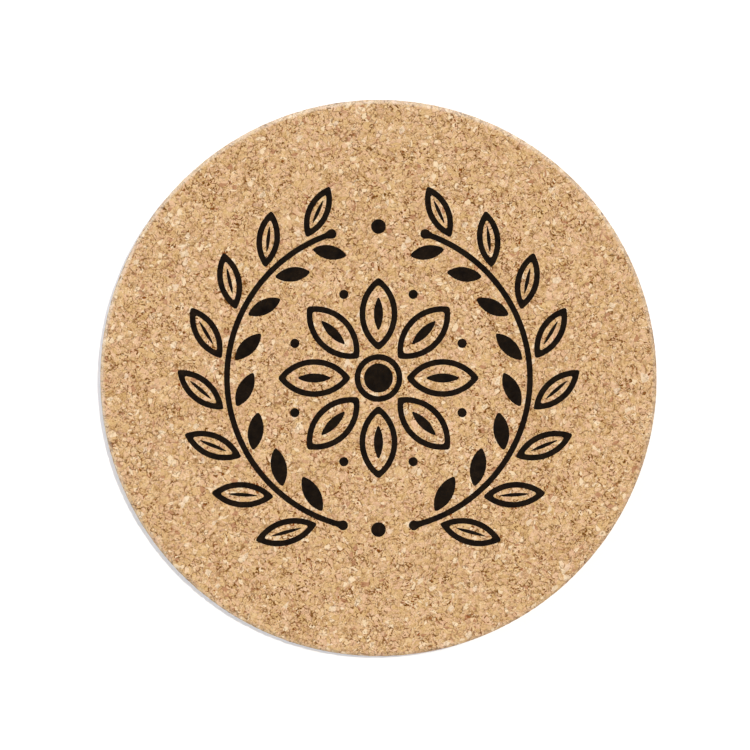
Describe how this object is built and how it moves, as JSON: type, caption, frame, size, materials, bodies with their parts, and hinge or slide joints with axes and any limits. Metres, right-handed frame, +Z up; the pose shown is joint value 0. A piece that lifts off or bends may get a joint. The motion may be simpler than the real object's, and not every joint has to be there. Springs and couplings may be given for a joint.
{
  "type": "cork trivet",
  "caption": "Flat round trivet of pressed cork granules with a dark one-colour leaf wreath and daisy print, for hot pots on a table.",
  "frame": {"origin": "centre of the underside, at the middle of the part's box", "axes": "+Z up through the disc's thickness, +Y towards the top of the print as it is read, +X to the print's right"},
  "size_m": [0.19, 0.19, 0.01],
  "materials": {
    "cork": "matte sanded pressed cork",
    "ink": "flat black-brown printing ink"
  },
  "bodies": {
    "root": {"cork_disc": "cork", "stem_ink": "ink", "outer_leaf_ink": "ink", "leaf_rib_ink": "ink", "inner_leaf_ink": "ink", "berry_ink": "ink", "petal_ink": "ink", "petal_streak_ink": "ink", "daisy_eye_ink": "ink", "eye_ring_ink": "ink", "bead_ink": "ink"}
  },
  "joints": []
}
